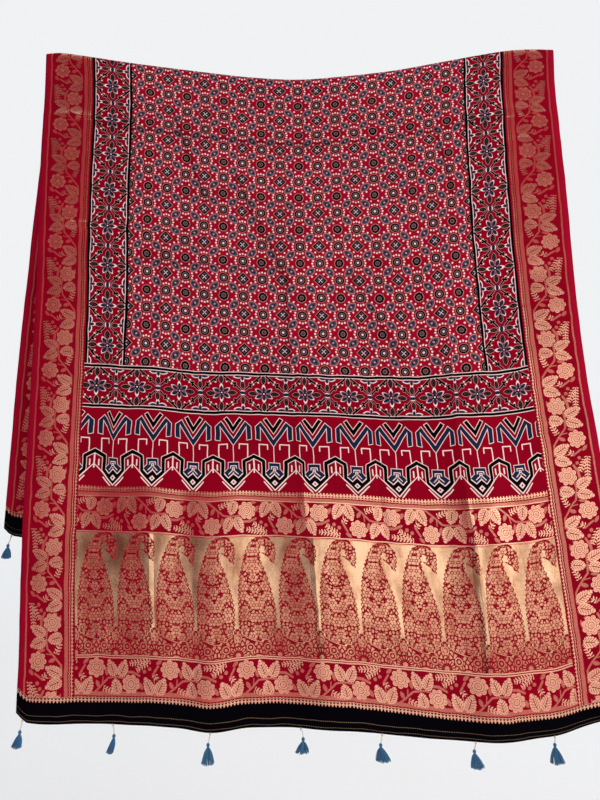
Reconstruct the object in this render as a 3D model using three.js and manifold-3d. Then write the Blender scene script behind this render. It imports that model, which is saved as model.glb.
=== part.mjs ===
// Ajrakh dupatta: one length of cloth hung over a line, the front leg longer than the back leg,
// with eight thread tassels on strings along each end.
// Millimetres, +Z up, origin at the middle of the fold, the front leg towards -Y.
import * as THREE from "three";
import { mergeVertices } from "three/addons/utils/BufferGeometryUtils.js";
import Module from "manifold-3d";

// Cloth
const CLOTH_WIDTH = 1100;
const CLOTH_THICK = 2;
const BORDER_WIDTH = 104;
const FOLD_RADIUS = 9; // middle of the cloth where it bends over the line
const FRONT_SWING = 12; // how far each leg hangs out from the fold's side
const BACK_SWING = 11;
const SWING_REACH = 0.25; // share of a leg over which it swings out
const COLUMN_STEP = 34;
const CORNER_COLUMNS = [5, 18]; // extra columns, from each side edge
const FOLD_STEPS = 4;
const FRONT_ROWS = 20;
const BACK_ROWS = 12;

// Heights across the cloth: the fold's top and the two hems
const FOLD_LINE = [
  { u: -550, z: 63 },
  { u: -515, z: 65 },
  { u: -365, z: 41 },
  { u: -210, z: 19 },
  { u: -107, z: 6 },
  { u: 0, z: 0 },
  { u: 110, z: 9 },
  { u: 215, z: 23 },
  { u: 305, z: 41 },
  { u: 440, z: 68 },
  { u: 500, z: 74 },
  { u: 550, z: 73 },
];
const FRONT_HEM = [
  { u: -550, z: -1256 },
  { u: -527, z: -1273 },
  { u: -375, z: -1278 },
  { u: -300, z: -1277 },
  { u: -202, z: -1286 },
  { u: -130, z: -1279 },
  { u: 31, z: -1282 },
  { u: 130, z: -1292 },
  { u: 252, z: -1301 },
  { u: 391, z: -1295 },
  { u: 455, z: -1281 },
  { u: 550, z: -1252 },
];
const BACK_HEM = [
  { u: -550, z: -944 },
  { u: -532, z: -958 },
  { u: -380, z: -974 },
  { u: -200, z: -988 },
  { u: 0, z: -996 },
  { u: 200, z: -984 },
  { u: 400, z: -966 },
  { u: 530, z: -950 },
  { u: 550, z: -938 },
];

// Where the side edges and the inner lines of the side borders hang, down each leg (0 fold, 1 hem)
const FRONT_LINES = [
  { p: 0, edgeLeft: -547, bandLeft: -446, bandRight: 437, edgeRight: 547 },
  { p: 0.085, edgeLeft: -541, bandLeft: -437, bandRight: 431, edgeRight: 542 },
  { p: 0.285, edgeLeft: -528, bandLeft: -427, bandRight: 428, edgeRight: 543 },
  { p: 0.5, edgeLeft: -517, bandLeft: -417, bandRight: 438, edgeRight: 547 },
  { p: 0.755, edgeLeft: -510, bandLeft: -413, bandRight: 467, edgeRight: 574 },
  { p: 0.915, edgeLeft: -498, bandLeft: -400, bandRight: 483, edgeRight: 589 },
  { p: 1, edgeLeft: -493, bandLeft: -395, bandRight: 489, edgeRight: 595 },
];
const BACK_LINES = [
  { p: 0, edgeLeft: -547, bandLeft: -446, bandRight: 437, edgeRight: 547 },
  { p: 0.15, edgeLeft: -550, bandLeft: -448, bandRight: 440, edgeRight: 545 },
  { p: 0.35, edgeLeft: -557, bandLeft: -455, bandRight: 440, edgeRight: 543 },
  { p: 0.7, edgeLeft: -563, bandLeft: -460, bandRight: 440, edgeRight: 542 },
  { p: 1, edgeLeft: -563, bandLeft: -461, bandRight: 441, edgeRight: 544 },
];

// Soft folds down each leg: middle line, its lean by the hem, half width, rise outwards, and the
// shares of the leg where it starts and where it is full
const FRONT_FOLDS = [
  { at: 40, lean: 0, half: 430, rise: 9, from: 0.1, full: 0.7 },
  { at: 302, lean: 6, half: 78, rise: 13, from: 0.02, full: 0.6 },
  { at: 222, lean: 12, half: 62, rise: -6, from: 0.3, full: 0.75 },
  { at: 8, lean: 8, half: 70, rise: 8, from: 0.5, full: 0.8 },
  { at: -204, lean: 2, half: 64, rise: 9, from: 0.55, full: 0.95 },
  { at: -300, lean: 6, half: 70, rise: 5, from: 0.45, full: 0.75 },
  { at: -415, lean: -6, half: 100, rise: -9, from: 0.3, full: 0.7 },
  { at: 460, lean: 4, half: 80, rise: -7, from: 0.35, full: 0.8 },
  { at: -110, lean: 30, half: 90, rise: -5, from: 0.08, full: 0.4 },
];
const BACK_FOLDS = [
  { at: -60, lean: -20, half: 330, rise: 8, from: 0.1, full: 0.7 },
  { at: -330, lean: -15, half: 90, rise: 9, from: 0.15, full: 0.8 },
  { at: 190, lean: 25, half: 110, rise: 10, from: 0.1, full: 0.7 },
  { at: 400, lean: 10, half: 90, rise: -7, from: 0.25, full: 0.8 },
  { at: 20, lean: -10, half: 80, rise: 6, from: 0.5, full: 0.9 },
];

// Storage creases that run across each leg: place down the leg, rise, half height, and the
// stretch of the width on which they stand
const FRONT_CREASES = [
  { p: 0.105, rise: 4, half: 20, left: -560, right: 560 },
  { p: 0.295, rise: 3, half: 20, left: -560, right: -120 },
];
const BACK_CREASES = [{ p: 0.3, rise: 3, half: 24, left: -560, right: 300 }];
const CREASE_FADE = 120; // over which a crease dies out sideways

// Tassels along each hem: place across the cloth, the string's length and sideways drift, and
// the tassel's length, half width and lean
const FRONT_TASSELS = [
  { u: -537, string: 17, drift: -3, length: 30, spread: 9, lean: -4 },
  { u: -377, string: 16, drift: 3, length: 33, spread: 6, lean: -6 },
  { u: -202, string: 16, drift: -3, length: 36, spread: 11, lean: 0 },
  { u: -45, string: 15, drift: 4, length: 27, spread: 12, lean: -2 },
  { u: 96, string: 15, drift: -3, length: 31, spread: 13, lean: 4 },
  { u: 257, string: 12, drift: -3, length: 32, spread: 12, lean: 5 },
  { u: 397, string: 11, drift: -1, length: 35, spread: 13, lean: 3 },
  { u: 536, string: 14, drift: 2, length: 32, spread: 11, lean: -3 },
];
const BACK_TASSELS = [
  { u: -534, string: 16, drift: -5, length: 28, spread: 9, lean: -2 },
  { u: -385, string: 15, drift: 3, length: 32, spread: 11, lean: 2 },
  { u: -230, string: 17, drift: -2, length: 34, spread: 12, lean: -3 },
  { u: -78, string: 14, drift: 2, length: 31, spread: 10, lean: 4 },
  { u: 74, string: 16, drift: -3, length: 35, spread: 12, lean: -2 },
  { u: 228, string: 15, drift: 3, length: 29, spread: 11, lean: 3 },
  { u: 382, string: 17, drift: -2, length: 33, spread: 9, lean: -4 },
  { u: 532, string: 14, drift: 3, length: 31, spread: 12, lean: 2 },
];
const STRING_WIDTH = 2.2;
const TIE_GAP = 0.3;
const HEAD_SIDES = 6;
const HEAD_PROFILE = [
  { r: 0, z: -13 },
  { r: 3.9, z: -12 },
  { r: 4.1, z: -9 },
  { r: 2.7, z: -7 },
  { r: 3.1, z: -4.5 },
  { r: 2.6, z: -2 },
  { r: 1.3, z: 0 },
  { r: 0, z: 0 },
];
const STRAND_ROOT = 9; // below the head's top
const STRAND_TOP = 1.35; // half width at the root
const STRAND_FLARE = 0.2; // half width at the tip, of the spread
const SKIRT_FLATNESS = 0.62; // depth of the skirt, of its width
const OUTER_STRANDS = { count: 8, root: 3.6, tip: 0.8 };
const INNER_STRANDS = { count: 3, root: 1.5, tip: 0.34 };

const printedSilk = new THREE.MeshStandardMaterial({ color: 0x9c1630, roughness: 0.62, metalness: 0 });
const creamThread = new THREE.MeshStandardMaterial({ color: 0xd9c6be, roughness: 0.85, metalness: 0 });
const blueThread = new THREE.MeshStandardMaterial({ color: 0x2c6a94, roughness: 0.8, metalness: 0 });

const wasm = await Module();
wasm.setup();

const smooth = (low, high, x) => THREE.MathUtils.smoothstep(x, low, high);
const bump = (distance, half) => 0.5 + 0.5 * Math.cos(Math.PI * Math.min(Math.abs(distance) / half, 1));

// A smooth curve through a table's rows: column `value` at `x` in column `key`.
function along(rows, key, value, x) {
  const slope = (a, b) => (rows[b][value] - rows[a][value]) / (rows[b][key] - rows[a][key]);
  const last = rows.length - 1;
  let i = 0;
  while (i < last - 1 && x > rows[i + 1][key]) i += 1;
  const span = rows[i + 1][key] - rows[i][key];
  const t = THREE.MathUtils.clamp((x - rows[i][key]) / span, 0, 1);
  const m0 = slope(Math.max(i - 1, 0), i + 1) * span;
  const m1 = slope(i, Math.min(i + 2, last)) * span;
  const a = rows[i][value];
  const b = rows[i + 1][value];
  return a + t * (m0 + t * (3 * (b - a) - 2 * m0 - m1 + t * (2 * (a - b) + m0 + m1)));
}

// How far a leg's folds and creases stand out at a place across (u) and down (p) it.
function relief(folds, creases, length, u, p) {
  let rise = 0;
  for (const f of folds) {
    rise += f.rise * smooth(f.from, f.full, p) * bump(u - f.at - f.lean * p, f.half);
  }
  for (const c of creases) {
    const stretch = smooth(c.left, c.left + CREASE_FADE, u) * (1 - smooth(c.right - CREASE_FADE, c.right, u));
    rise += c.rise * stretch * bump((p - c.p) * length, c.half);
  }
  return rise;
}

// The cross position of a place on a leg, between its side edges and border lines.
function across(lines, u, p) {
  const half = CLOTH_WIDTH / 2;
  const marks = [
    { u: -half, x: along(lines, "p", "edgeLeft", p) },
    { u: BORDER_WIDTH - half, x: along(lines, "p", "bandLeft", p) },
    { u: half - BORDER_WIDTH, x: along(lines, "p", "bandRight", p) },
    { u: half, x: along(lines, "p", "edgeRight", p) },
  ];
  return along(marks, "u", "x", u);
}

const FRONT = {
  side: -1,
  swing: FRONT_SWING,
  rows: FRONT_ROWS,
  hem: FRONT_HEM,
  lines: FRONT_LINES,
  folds: FRONT_FOLDS,
  creases: FRONT_CREASES,
};
const BACK = {
  side: 1,
  swing: BACK_SWING,
  rows: BACK_ROWS,
  hem: BACK_HEM,
  lines: BACK_LINES,
  folds: BACK_FOLDS,
  creases: BACK_CREASES,
};

// The middle of the cloth's thickness on one leg.
function legPoint(leg, u, p) {
  const top = along(FOLD_LINE, "u", "z", u) - FOLD_RADIUS - CLOTH_THICK / 2;
  const hem = along(leg.hem, "u", "z", u);
  const out = smooth(0, SWING_REACH, p) * (leg.swing + relief(leg.folds, leg.creases, top - hem, u, p));
  return new THREE.Vector3(across(leg.lines, u, p), leg.side * (FOLD_RADIUS + out), top + (hem - top) * p);
}

// The same along the whole length: s runs from -1 at the front hem to 0 and 1 where the bend over
// the line starts and ends, and to 2 at the back hem.
function clothPoint(u, s) {
  if (s <= 0) return legPoint(FRONT, u, -s);
  if (s >= 1) return legPoint(BACK, u, s - 1);
  const from = legPoint(FRONT, u, 0);
  const to = legPoint(BACK, u, 0);
  const angle = Math.PI * s;
  from.lerp(to, s);
  from.y = -FOLD_RADIUS * Math.cos(angle);
  from.z += FOLD_RADIUS * Math.sin(angle);
  return from;
}

function clothColumns() {
  const half = CLOTH_WIDTH / 2;
  const inner = half - CORNER_COLUMNS[1] - COLUMN_STEP / 2;
  const count = Math.round((2 * inner) / COLUMN_STEP);
  const left = [0, ...CORNER_COLUMNS].map((d) => d - half);
  const middle = Array.from({ length: count + 1 }, (_, i) => -inner + (2 * inner * i) / count);
  return [...left, ...middle, ...left.map((u) => -u).reverse()];
}

// Rows down a leg, even but for three close ones over each crease.
function legRows(leg) {
  const length = legPoint(leg, 0, 0).z - legPoint(leg, 0, 1).z;
  const rows = Array.from({ length: leg.rows + 1 }, (_, i) => i / leg.rows);
  const clear = (p) => leg.creases.every((c) => Math.abs(p - c.p) > (1.5 * c.half) / length);
  const close = leg.creases.flatMap((c) => [c.p - c.half / length, c.p, c.p + c.half / length]);
  return [...rows.filter((p) => p === 0 || clear(p)), ...close].sort((a, b) => a - b);
}

function clothGeometry() {
  const columns = clothColumns();
  const front = legRows(FRONT);
  const back = legRows(BACK);
  const bend = Array.from({ length: FOLD_STEPS - 1 }, (_, i) => (i + 1) / FOLD_STEPS);
  const rows = [...front.map((p) => -p).reverse(), ...bend, ...back.map((p) => 1 + p)];
  const wide = columns.length;
  const tall = rows.length;
  const outer = [];
  const inner = [];
  const step = 0.5; // for slopes, across and along the cloth
  const reach = 0.002;
  for (const s of rows) {
    for (const u of columns) {
      const point = clothPoint(u, s);
      const sideways = clothPoint(u + step, s).sub(clothPoint(u - step, s));
      const low = Math.max(s - reach, -1);
      const high = Math.min(s + reach, 2);
      const upwards = clothPoint(u, high).sub(clothPoint(u, low));
      const normal = sideways.cross(upwards).normalize().multiplyScalar(CLOTH_THICK / 2);
      outer.push(...point.clone().add(normal).toArray());
      inner.push(...point.sub(normal).toArray());
    }
  }
  const faces = [];
  const quad = (a, b, c, d) => faces.push(a, b, c, a, c, d);
  const far = wide * tall;
  for (let r = 0; r < tall - 1; r += 1) {
    for (let c = 0; c < wide - 1; c += 1) {
      const a = r * wide + c;
      quad(a, a + 1, a + 1 + wide, a + wide);
      quad(far + a, far + a + wide, far + a + 1 + wide, far + a + 1);
    }
    const left = r * wide;
    const right = left + wide - 1;
    quad(left, left + wide, far + left + wide, far + left);
    quad(right, far + right, far + right + wide, right + wide);
  }
  for (let c = 0; c < wide - 1; c += 1) {
    const end = (tall - 1) * wide + c;
    quad(c, far + c, far + c + 1, c + 1);
    quad(end, end + 1, far + end + 1, far + end);
  }
  const geometry = new THREE.BufferGeometry();
  geometry.setAttribute("position", new THREE.Float32BufferAttribute([...outer, ...inner], 3));
  geometry.setIndex(faces);
  geometry.computeVertexNormals();
  return geometry;
}

// Solids are joined from closed shapes whose shared corners are merged.
function toSolid(geometry) {
  geometry.deleteAttribute("normal");
  geometry.deleteAttribute("uv");
  const merged = mergeVertices(geometry, 1e-4);
  const vertProperties = new Float32Array(merged.attributes.position.array);
  const triVerts = new Uint32Array(merged.index.array);
  return new wasm.Manifold(new wasm.Mesh({ numProp: 3, vertProperties, triVerts }));
}

function toGeometry(solid) {
  const mesh = solid.getMesh();
  const geometry = new THREE.BufferGeometry();
  geometry.setAttribute("position", new THREE.BufferAttribute(mesh.vertProperties, 3));
  geometry.setIndex(new THREE.BufferAttribute(mesh.triVerts, 1));
  geometry.computeVertexNormals();
  return geometry;
}

function stringGeometry(row) {
  const path = new THREE.CatmullRomCurve3([
    new THREE.Vector3(0, 0, 0),
    new THREE.Vector3(0, 0, -2),
    new THREE.Vector3(row.drift * 0.5, 0, -row.string * 0.5),
    new THREE.Vector3(row.drift, 0, 2 - row.string),
    new THREE.Vector3(row.drift, 0, -row.string),
  ]);
  const half = STRING_WIDTH / 2;
  const section = new THREE.Shape([
    new THREE.Vector2(half, 0),
    new THREE.Vector2(0, half),
    new THREE.Vector2(-half, 0),
    new THREE.Vector2(0, -half),
  ]);
  return new THREE.ExtrudeGeometry(section, { steps: 6, extrudePath: path });
}

// One lock of thread from the tassel's head out to its tip.
function strandGeometry(row, ring, angle) {
  const length = row.length - STRAND_ROOT;
  const lock = new THREE.CylinderGeometry(STRAND_TOP, STRAND_FLARE * row.spread, 1, 3);
  lock.rotateX(Math.PI / 2);
  lock.rotateZ(angle);
  const at = lock.attributes.position;
  for (let i = 0; i < at.count; i += 1) {
    const down = 0.5 - at.getZ(i);
    const out = ring.root + (ring.tip * row.spread - ring.root) * down;
    at.setXYZ(
      i,
      at.getX(i) + Math.cos(angle) * out + row.lean * down,
      (at.getY(i) + Math.sin(angle) * out) * (1 + (SKIRT_FLATNESS - 1) * down),
      -STRAND_ROOT - length * down,
    );
  }
  return lock;
}

function tasselGeometry(row) {
  const profile = HEAD_PROFILE.map((ring) => new THREE.Vector2(ring.r, ring.z));
  const head = new THREE.LatheGeometry(profile, HEAD_SIDES);
  head.rotateX(Math.PI / 2);
  let solid = toSolid(head);
  for (const ring of [OUTER_STRANDS, INNER_STRANDS]) {
    for (let i = 0; i < ring.count; i += 1) {
      const angle = ((i + 0.5) / ring.count) * 2 * Math.PI;
      solid = solid.add(toSolid(strandGeometry(row, ring, angle)));
    }
  }
  return toGeometry(solid);
}

function addPiece(group, name, geometry, material, position) {
  const mesh = new THREE.Mesh(geometry, material);
  mesh.name = name;
  mesh.position.copy(position);
  group.add(mesh);
}

// A place on a hem's edge, which runs straight from column to column.
function hemPoint(leg, u) {
  const columns = clothColumns();
  const i = columns.findIndex((column) => column > u);
  const share = (u - columns[i - 1]) / (columns[i] - columns[i - 1]);
  return legPoint(leg, columns[i - 1], 1).lerp(legPoint(leg, columns[i], 1), share);
}

function addTassels(group, leg, rows, end) {
  rows.forEach((row, i) => {
    const half = STRING_WIDTH / 2;
    const tie = hemPoint(leg, row.u);
    tie.z = Math.min(hemPoint(leg, row.u - half).z, hemPoint(leg, row.u + half).z) - TIE_GAP;
    addPiece(group, `tassel_string_${end}_${i + 1}`, stringGeometry(row), creamThread, tie);
    const hang = tie.clone().add(new THREE.Vector3(row.drift, 0, -row.string - TIE_GAP));
    addPiece(group, `tassel_${end}_${i + 1}`, tasselGeometry(row), blueThread, hang);
  });
}

const dupatta = new THREE.Group();
addPiece(dupatta, "cloth", clothGeometry(), printedSilk, new THREE.Vector3());
addTassels(dupatta, FRONT, FRONT_TASSELS, "front");
addTassels(dupatta, BACK, BACK_TASSELS, "back");

export default dupatta;
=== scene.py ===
import math
import random
from collections import namedtuple
from functools import reduce

import bmesh
import bpy
import numpy as np
from mathutils import Matrix, Vector, noise


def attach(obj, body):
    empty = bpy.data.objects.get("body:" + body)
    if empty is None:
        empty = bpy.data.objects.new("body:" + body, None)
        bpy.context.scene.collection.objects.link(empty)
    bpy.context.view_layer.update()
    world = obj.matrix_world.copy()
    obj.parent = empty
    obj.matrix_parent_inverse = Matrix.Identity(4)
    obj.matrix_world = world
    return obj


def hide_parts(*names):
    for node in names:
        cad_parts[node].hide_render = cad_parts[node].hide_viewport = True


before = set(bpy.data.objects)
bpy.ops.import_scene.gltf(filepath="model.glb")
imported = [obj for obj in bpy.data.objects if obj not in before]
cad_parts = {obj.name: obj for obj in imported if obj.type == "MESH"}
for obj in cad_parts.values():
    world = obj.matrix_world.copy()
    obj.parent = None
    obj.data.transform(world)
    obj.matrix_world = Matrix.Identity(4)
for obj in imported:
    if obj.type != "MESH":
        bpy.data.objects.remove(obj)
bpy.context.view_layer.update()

# The camera: a phone held about 1.15 m in front of the cloth, well below the line that carries it,
# and tilted up. The lens takes in the whole cloth from the fold to the tassels.
camera = bpy.data.objects.new("camera", bpy.data.cameras.new("camera"))
camera.data.sensor_width = 36.0
camera.data.lens = 27.05
camera.location = (0.0, -1.148, -0.912)
LOOK_UP = 10.47  # degrees above level
camera.rotation_euler = (math.radians(90 + LOOK_UP), 0.0, 0.0)
bpy.context.collection.objects.link(camera)
bpy.context.scene.camera = camera
bpy.context.scene.view_settings.view_transform = "Standard"

# The cloth: one length of silk with woven gold borders, 1.10 m wide and 2.34 m long, hung over a line
# that sags towards its middle. The front leg hangs about 0.3 m lower than the back one.
CLOTH_WIDTH = 1.100
CLOTH_THICK = 0.0008
FOLD_RADIUS = 0.009
FRONT_LENGTH = 1.305
BEND_LENGTH = 0.028
BACK_LENGTH = 1.005
BACK_START = FRONT_LENGTH + BEND_LENGTH
CLOTH_LENGTH = BACK_START + BACK_LENGTH
SWING_REACH = 0.25
CREASE_FADE = 0.120
SIDE_BORDER = 0.104
STAR_STRIP = 0.086
EDGE = CLOTH_WIDTH / 2
BAND = EDGE - SIDE_BORDER
FIELD = BAND - STAR_STRIP

FOLD_LINE = (
    (-0.550, 0.063), (-0.515, 0.065), (-0.365, 0.041), (-0.210, 0.019), (-0.107, 0.006), (0.0, 0.0),
    (0.110, 0.009), (0.215, 0.023), (0.305, 0.041), (0.440, 0.068), (0.500, 0.074), (0.550, 0.073),
)
FRONT_HEM = (
    (-0.550, -1.256), (-0.527, -1.273), (-0.375, -1.278), (-0.300, -1.277), (-0.202, -1.286),
    (-0.130, -1.279), (0.031, -1.282), (0.130, -1.292), (0.252, -1.301), (0.391, -1.295),
    (0.455, -1.281), (0.550, -1.252),
)
BACK_HEM = (
    (-0.550, -0.944), (-0.532, -0.958), (-0.380, -0.974), (-0.200, -0.988), (0.0, -0.996),
    (0.200, -0.984), (0.400, -0.966), (0.530, -0.950), (0.550, -0.938),
)

# How far down the leg, then where the left edge, both border seams and the right edge hang.
FRONT_LINES = (
    (0.0, -0.547, -0.446, 0.437, 0.547), (0.085, -0.541, -0.437, 0.431, 0.542),
    (0.285, -0.528, -0.427, 0.428, 0.543), (0.5, -0.517, -0.417, 0.438, 0.547),
    (0.755, -0.510, -0.413, 0.467, 0.574), (0.915, -0.498, -0.400, 0.483, 0.589),
    (1.0, -0.493, -0.395, 0.489, 0.595),
)
BACK_LINES = (
    (0.0, -0.547, -0.446, 0.437, 0.547), (0.15, -0.550, -0.448, 0.440, 0.545),
    (0.35, -0.557, -0.455, 0.440, 0.543), (0.7, -0.563, -0.460, 0.440, 0.542),
    (1.0, -0.563, -0.461, 0.441, 0.544),
)

Fold = namedtuple("Fold", "at lean half rise start full")
FRONT_FOLDS = (
    Fold(0.040, 0.0, 0.430, 0.009, 0.1, 0.7), Fold(0.302, 0.006, 0.078, 0.010, 0.02, 0.6),
    Fold(0.222, 0.012, 0.062, -0.003, 0.3, 0.75), Fold(0.008, 0.008, 0.070, 0.006, 0.5, 0.8),
    Fold(-0.204, 0.002, 0.064, 0.007, 0.55, 0.95), Fold(-0.300, 0.006, 0.070, 0.005, 0.45, 0.75),
    Fold(-0.415, -0.006, 0.100, -0.009, 0.3, 0.7), Fold(0.460, 0.004, 0.080, -0.007, 0.35, 0.8),
    Fold(-0.110, 0.030, 0.090, -0.005, 0.08, 0.4),
)
BACK_FOLDS = (
    Fold(-0.060, -0.020, 0.330, 0.008, 0.1, 0.7), Fold(-0.330, -0.015, 0.090, 0.009, 0.15, 0.8),
    Fold(0.190, 0.025, 0.110, 0.010, 0.1, 0.7), Fold(0.400, 0.010, 0.090, -0.007, 0.25, 0.8),
    Fold(0.020, -0.010, 0.080, 0.006, 0.5, 0.9),
)

# The creases that the cloth keeps from lying folded run across it.
Crease = namedtuple("Crease", "at rise half left right")
FRONT_CREASES = (Crease(0.105, 0.004, 0.014, -0.560, 0.560), Crease(0.295, 0.003, 0.014, -0.560, -0.120))
BACK_CREASES = (Crease(0.3, 0.003, 0.024, -0.560, 0.300),)

Leg = namedtuple("Leg", "side swing hem lines folds creases")
FRONT = Leg(-1, 0.012, FRONT_HEM, FRONT_LINES, FRONT_FOLDS, FRONT_CREASES)
BACK = Leg(1, 0.011, BACK_HEM, BACK_LINES, BACK_FOLDS, BACK_CREASES)


def smooth(start, end, x):
    t = np.clip((x - start) / (end - start), 0.0, 1.0)
    return t * t * (3 - 2 * t)


def bump(distance, half):
    return 0.5 + 0.5 * np.cos(np.pi * np.minimum(np.abs(distance) / half, 1.0))


def through(xs, ys, x):
    """A smooth curve through points, whose heights may be numbers or whole arrays."""
    last = len(xs) - 1
    slopes = []
    for k in range(last + 1):
        before, after = max(k - 1, 0), min(k + 1, last)
        slopes.append((ys[after] - ys[before]) / (xs[after] - xs[before]))
    result = ys[0] + 0.0 * x
    for k in range(last):
        span = xs[k + 1] - xs[k]
        t = np.clip((x - xs[k]) / span, 0.0, 1.0)
        rise = ys[k + 1] - ys[k]
        out, into = slopes[k] * span, slopes[k + 1] * span
        value = ys[k] + t * (out + t * (3 * rise - 2 * out - into + t * (out + into - 2 * rise)))
        result = np.where(x > xs[k], value, result)
    return result


def leg_points(leg, u, p):
    """Points of a hanging leg: u across the flat cloth and p from 0 at the fold to 1 at the hem."""
    top = through(*zip(*FOLD_LINE), u) - FOLD_RADIUS - 0.001
    hem = through(*zip(*leg.hem), u)
    downs, *columns = zip(*leg.lines)
    x = through((-EDGE, -BAND, BAND, EDGE), [through(downs, column, p) for column in columns], u)
    out = leg.swing + 0.0 * u
    for fold in leg.folds:
        out += fold.rise * smooth(fold.start, fold.full, p) * bump(u - fold.at - fold.lean * p, fold.half)
    for crease in leg.creases:
        reach = smooth(crease.left, crease.left + CREASE_FADE, u)
        reach = reach * (1 - smooth(crease.right - CREASE_FADE, crease.right, u))
        out += crease.rise * reach * bump((p - crease.at) * (top - hem), crease.half)
    y = leg.side * (FOLD_RADIUS + smooth(0, SWING_REACH, p) * out)
    return np.stack([x, y, top + (hem - top) * p], axis=-1)


# The cloth hangs a little askew: across the front leg its weft rises and falls by this much.
WEFT_DRIFT = (
    (-0.55, -0.002), (-0.42, 0.0), (-0.18, 0.004), (0.0, 0.004), (0.09, 0.002), (0.27, -0.004),
    (0.44, -0.010), (0.55, -0.014),
)


def cloth_points(u, along):
    """Points of the whole cloth, by the distance along it from the front hem."""
    askew = smooth(0.0, 0.03, along) * (1 - smooth(0.7, FRONT_LENGTH, along))
    risen = along + askew * through(*zip(*WEFT_DRIFT), u)
    front = leg_points(FRONT, u, np.clip(1 - risen / FRONT_LENGTH, 0, 1))
    back = leg_points(BACK, u, np.clip((along - FRONT_LENGTH - BEND_LENGTH) / BACK_LENGTH, 0, 1))
    share = np.clip((along - FRONT_LENGTH) / BEND_LENGTH, 0, 1)
    bend = front + (back - front) * share[..., None]
    bend[..., 1] = -FOLD_RADIUS * np.cos(np.pi * share)
    bend[..., 2] += FOLD_RADIUS * np.sin(np.pi * share)
    bent = (share > 0) & (share < 1)
    points = np.where((share < 0.5)[..., None], front, back)
    return np.where(bent[..., None], bend, points)


def spread(marks, step):
    """Places from the first mark to the last that land on every mark, about a step apart."""
    places = [marks[0]]
    for start, end in zip(marks, marks[1:]):
        count = max(1, round((end - start) / step))
        places += [start + (end - start) * k / count for k in range(1, count + 1)]
    return np.array(places)


# The bands of each end, by their distance from the hem: a black dyed end, a woven vine, a panel of
# paisleys, a second vine, a printed zigzag band and a band of stars. The lattice field lies between.
END_BANDS = (
    ("black_end", 0.0435), ("vine_lower", 0.1145), ("paisleys", 0.325), ("vine_upper", 0.4095),
    ("zigzag", 0.554), ("foot_stars", 0.640),
)
END_MARKS = (0.0,) + tuple(top for zone, top in END_BANDS)
ZONES = ("field", "side_stars", "side") + tuple(zone for zone, top in END_BANDS)

# The front leg keeps narrow upright pleats in its lower half and sharp creases from lying folded.
Pleat = namedtuple("Pleat", "at rise half pinch bottom top")
PLEATS = (
    Pleat(-0.378, 0.0040, 0.012, 0.30, 0.40, 0.76), Pleat(-0.012, 0.0036, 0.012, 0.25, 0.32, 0.72),
    Pleat(0.292, 0.0040, 0.012, 0.30, 0.10, 0.80), Pleat(0.132, -0.0022, 0.016, 0.15, 0.26, 0.66),
    Pleat(-0.232, -0.0022, 0.016, 0.15, 0.02, 0.30), Pleat(0.395, -0.0020, 0.014, 0.15, 0.02, 0.34),
)
SHARP_CREASES = (
    Crease(1.160, 0.0020, 0.008, -0.56, 0.56), Crease(0.918, 0.0014, 0.008, -0.56, -0.10),
    Crease(1.105, -0.0012, 0.009, 0.05, 0.56), Crease(0.755, 0.0012, 0.009, -0.20, 0.50),
)


def with_marks(places, marks, reach, step):
    """The same places with closer ones for a short reach on each side of some marks."""
    steps = np.arange(-reach, reach + step / 2, step)
    close = np.concatenate([mark + steps for mark in marks])
    apart = np.abs(close[:, None] - places[None, :]).min(axis=1) > step * 0.45
    return np.unique(np.concatenate([places, close[apart]]))


COLUMN_STEP, FRONT_STEP, BEND_STEP, BACK_STEP = 0.010, 0.0075, 0.004, 0.010
columns = spread((-EDGE, -BAND, -FIELD, FIELD, BAND, EDGE), COLUMN_STEP)
columns = with_marks(columns, [pleat.at for pleat in PLEATS], 0.012, 0.004)
front_rows = spread(END_MARKS + (FRONT_LENGTH,), FRONT_STEP)
front_rows = with_marks(front_rows, [crease.at for crease in SHARP_CREASES], 0.009, 0.003)
bend_rows = spread((FRONT_LENGTH, BACK_START), BEND_STEP)
back_marks = (BACK_START,) + tuple(CLOTH_LENGTH - mark for mark in reversed(END_MARKS))
back_rows = spread(back_marks, BACK_STEP)
rows = np.concatenate([front_rows, bend_rows[1:], back_rows[1:]])


def zone_of(u, along):
    hem = along if along < BACK_START else CLOTH_LENGTH - along
    zone = next((zone for zone, top in END_BANDS if hem < top), "field")
    if abs(u) > BAND and zone != "black_end":
        zone = "side"
    elif abs(u) > FIELD and zone == "field":
        zone = "side_stars"
    return ZONES.index(zone)


# The ripples of the silk, which fade out towards the fold, and how its pleats and creases fade and stray.
RIPPLE, CRUMPLE, SLACK = 0.0024, 0.0010, 0.0034
RIPPLE_FADE = 0.2
PLEAT_FOOT_FADE, PLEAT_TOP_FADE = 0.08, 0.1
PLEAT_STRAY, PINCH_REACH = 0.006, 0.024
SHARP_FADE, SHARP_STRAY = 0.1, 0.004


def ridge(distance, half):
    """A narrow ridge with straight flanks, a little rounded at its foot."""
    return np.maximum(0.0, 1 - np.abs(distance) / half) ** 1.3


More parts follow.
